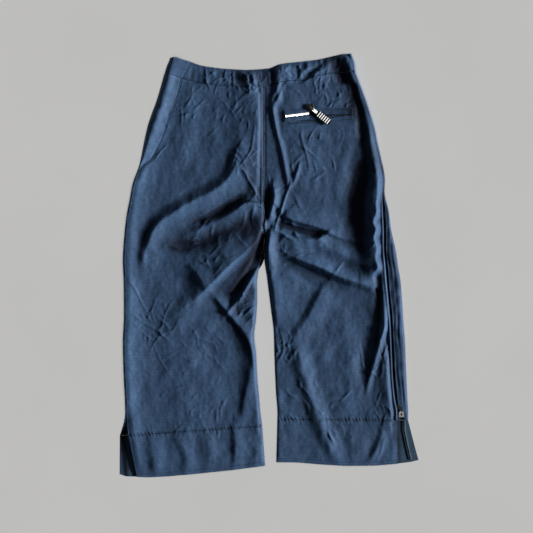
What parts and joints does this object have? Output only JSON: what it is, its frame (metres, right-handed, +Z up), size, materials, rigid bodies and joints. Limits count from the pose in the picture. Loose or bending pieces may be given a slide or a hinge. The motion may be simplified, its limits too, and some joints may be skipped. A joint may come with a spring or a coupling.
{
  "type": "track pants",
  "caption": "Navy cropped wide-leg track pants laid flat with the back up: side zip, zipped back pocket with a ribbed rubber puller, hem vents.",
  "frame": {"origin": "middle of the laid-out outline, on the surface that it lies on", "axes": "+X to the wearer's right leg, +Y to the waist, +Z up off the surface, out of the garment's back"},
  "size_m": [0.6276, 0.8878, 0.0269],
  "materials": {
    "fabric": "fine ribbed navy polyester with a slight sheen",
    "inside": "smooth teal-navy reverse of the cloth",
    "tape": "woven dark zip tape",
    "metal": "bright metal",
    "bronze": "dark aged metal",
    "rubber": "matt black rubber with pale ribs"
  },
  "bodies": {
    "pants": {"front_left_leg": "fabric", "front_right_leg": "fabric", "waistband_front": "fabric", "hem_front_left": "inside", "hem_front_right": "inside", "back_left_leg": "fabric", "back_right_leg": "fabric", "waistband_back": "fabric", "hem_back_left": "fabric", "hem_back_right": "fabric", "side_zip": "tape", "side_zip_open_tape": "tape", "pocket_zip_tape": "tape", "pocket_welt_upper": "fabric", "pocket_welt_lower": "fabric", "pocket_zip_chain": "metal", "pocket_end_stop": "metal", "pocket_slider": "bronze", "side_slider": "metal"},
    "pocket_ring": {"pocket_pull_ring": "metal"},
    "pocket_pull": {"pocket_pull_link": "metal", "pocket_pull_grip": "rubber"},
    "side_pull": {"side_pull_tab": "metal"}
  },
  "joints": [
    {"name": "pocket_pull_swivel", "type": "hinge", "parent": "pants", "child": "pocket_ring", "pos_m": [0.087, 0.33, 0.0146], "axis": [0, 0, 1], "range_deg": [-25, 105]},
    {"name": "pocket_pull_lift", "type": "hinge", "parent": "pocket_ring", "child": "pocket_pull", "pos_m": [0.09232, 0.32577, 0.0146], "axis": [-0.6225, -0.7826, 0], "range_deg": [0, 110]},
    {"name": "side_pull_lift", "type": "hinge", "parent": "pants", "child": "side_pull", "pos_m": [0.2774, -0.3046, 0.0071], "axis": [-1, 0, 0], "range_deg": [0, 140]}
  ]
}
